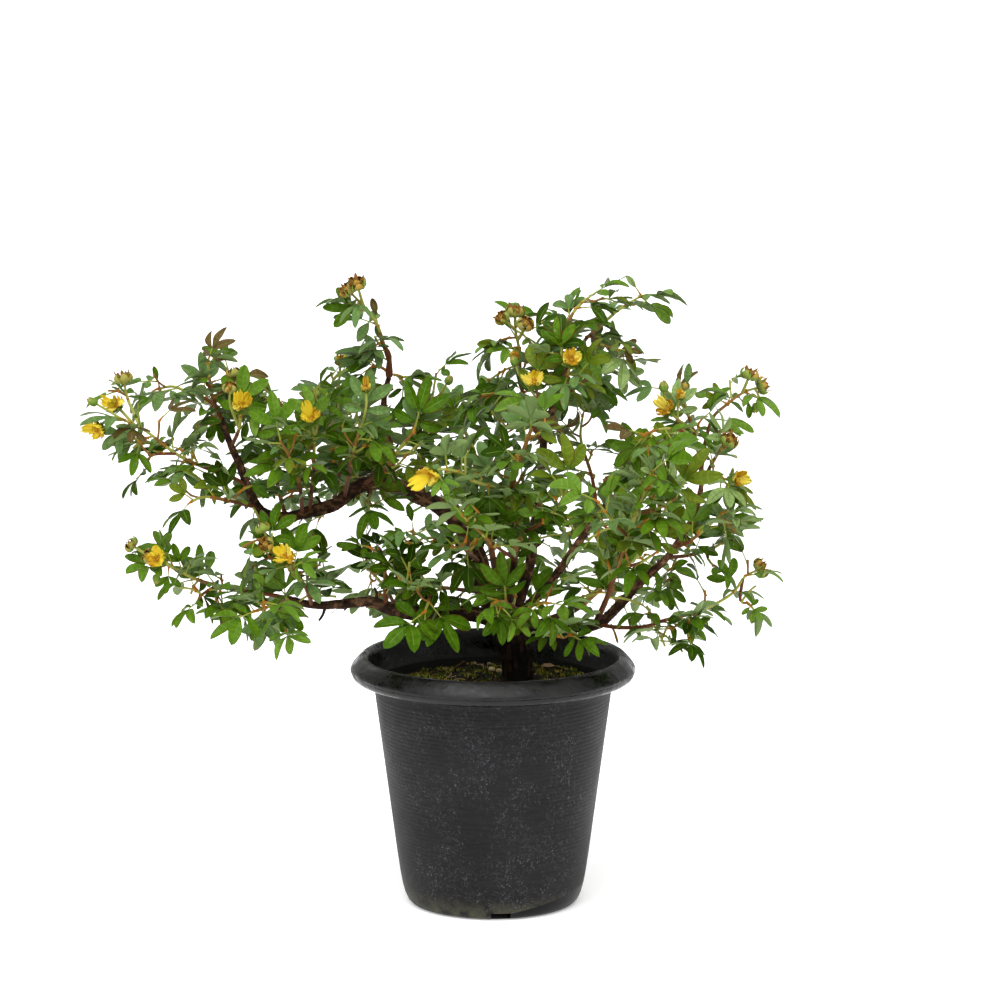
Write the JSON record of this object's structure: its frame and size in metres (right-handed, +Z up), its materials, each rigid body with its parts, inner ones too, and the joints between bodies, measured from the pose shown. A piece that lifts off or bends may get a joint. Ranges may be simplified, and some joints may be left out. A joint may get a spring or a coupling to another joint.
{
  "type": "potted shrub",
  "caption": "Small spreading shrub with crooked woody limbs, leafy twigs of finger-like leaves and yellow flowers, growing in a round black nursery pot.",
  "frame": {"origin": "middle of the pot's flat base, at the level that it stands on", "axes": "+Z up along the pot's axis, +X to the right along the shrub's longest spread, +Y away from the viewer"},
  "size_m": [0.3723, 0.2526, 0.3431],
  "materials": {
    "pot_plastic": "black moulded plastic, dull and dusty on the wall, smoother on the rim",
    "soil": "dark damp peat compost with moss",
    "bark": "dark brown bark that peels in strips, red-brown on the twigs",
    "foliage": "satin green leaves, greyer beneath, some with bronze edges",
    "petals": "matte bright yellow petals",
    "stone": "dull pale grit"
  },
  "bodies": {
    "root": {"pot": "pot_plastic", "soil": "soil", "trunk_and_limbs": "bark", "pebble_left": "stone", "pebble_right": "stone", "spray_left_tip": "foliage", "bloom_left_tip_1": "petals", "bloom_left_tip_2": "petals", "spray_left_second": "foliage", "spray_left_top": "foliage", "spray_left_bloom": "foliage", "bloom_left_bloom": "petals", "spray_left_inner": "foliage", "spray_left_yellow": "foliage", "bloom_left_yellow": "petals", "spray_left_tuft": "foliage", "spray_spire_tip": "foliage", "spray_centre_left": "foliage", "spray_centre_heads": "foliage", "spray_centre_yellow": "foliage", "bloom_centre_yellow": "petals", "spray_top": "foliage", "spray_top_right": "foliage", "spray_right_shoulder": "foliage", "spray_orange_bloom": "foliage", "bloom_orange_bloom": "petals", "spray_right_up_tip": "foliage", "spray_mid_right": "foliage", "spray_riser_heads": "foliage", "bloom_riser_heads": "petals", "spray_right_heads": "foliage", "spray_right_dry": "foliage", "bloom_right_dry": "petals", "spray_right_fan": "foliage", "spray_right_out": "foliage", "spray_right_low": "foliage", "spray_right_hang": "foliage", "spray_right_front": "foliage", "spray_front": "foliage", "bloom_front": "petals", "spray_low_twig": "foliage", "spray_low_mid": "foliage", "spray_hang_left": "foliage", "spray_hang_mid": "foliage", "spray_inner_front": "foliage", "spray_left_low_tip": "foliage", "bloom_left_low_tip": "petals", "spray_left_skirt": "foliage", "spray_left_skirt_back": "foliage", "spray_left_nodding": "foliage", "bloom_left_nodding": "petals", "spray_left_mid": "foliage", "spray_front_left": "foliage", "spray_front_mid": "foliage", "spray_left_face": "foliage", "spray_back": "foliage", "spray_right_back": "foliage", "spray_left_back": "foliage", "spray_low_back": "foliage"}
  },
  "joints": []
}
